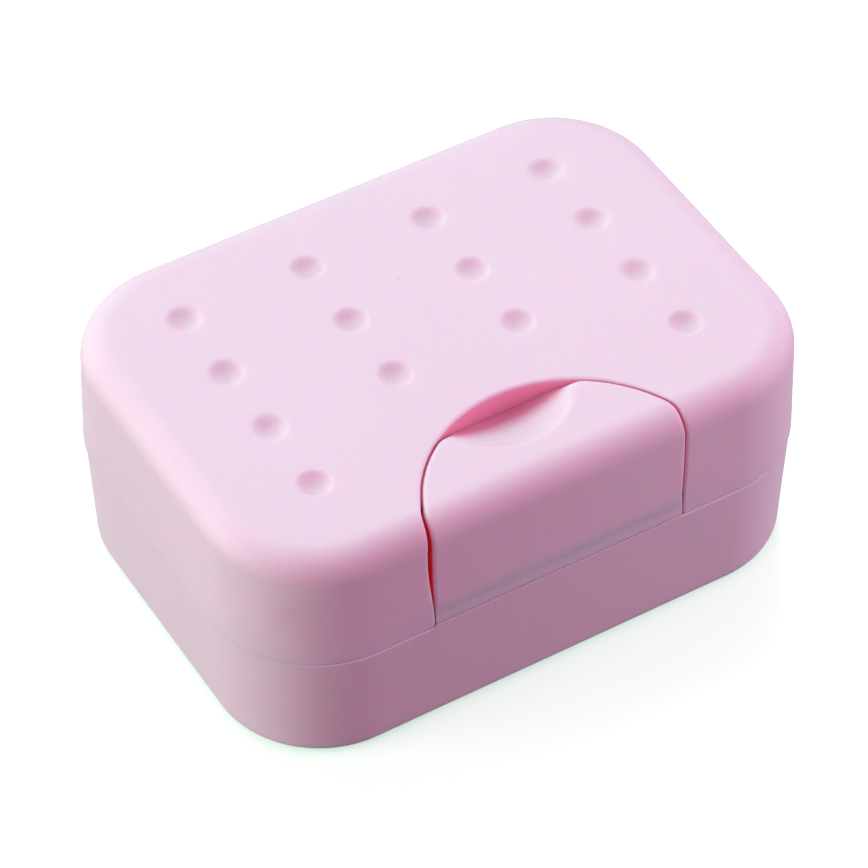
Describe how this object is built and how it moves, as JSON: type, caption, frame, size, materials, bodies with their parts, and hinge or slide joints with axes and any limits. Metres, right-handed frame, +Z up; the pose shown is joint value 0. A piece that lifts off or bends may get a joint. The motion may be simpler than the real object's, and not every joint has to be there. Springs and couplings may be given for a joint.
{
  "type": "travel soap box",
  "caption": "Rounded pink plastic travel soap box: hinged lid with dimpled top, front flap latch with a finger dish, and a lift-out drain tray inside.",
  "frame": {"origin": "middle of the underside of the base, on the plane that it stands on", "axes": "+Z up, +X along the long side, -Y towards the latch, +Y towards the rear hinges"},
  "size_m": [0.11, 0.0832, 0.0462],
  "materials": {
    "shell_plastic": "satin moulded polypropylene, pastel pink",
    "tray_plastic": "satin moulded polypropylene, pale pink",
    "pin_steel": "drawn stainless wire"
  },
  "bodies": {
    "base": {"base_shell": "shell_plastic", "lid_hinge_pin_left": "pin_steel", "lid_hinge_pin_right": "pin_steel", "latch_pin_left": "pin_steel", "latch_pin_right": "pin_steel"},
    "lid": {"lid_shell": "shell_plastic"},
    "latch": {"latch": "shell_plastic"},
    "tray": {"drain_tray": "tray_plastic"}
  },
  "joints": [
    {"name": "lid_hinge", "type": "hinge", "parent": "base", "child": "lid", "pos_m": [0, 0.0412, 0.02295], "axis": [-1, 0, 0], "range_deg": [0, 110]},
    {"name": "latch_hinge", "type": "hinge", "parent": "base", "child": "latch", "pos_m": [0, -0.0371, 0.026], "axis": [1, 0, 0], "range_deg": [0, 95]},
    {"name": "tray_lift", "type": "slide", "parent": "base", "child": "tray", "axis": [0, 0, 1], "range_m": [0, 0.01]}
  ]
}
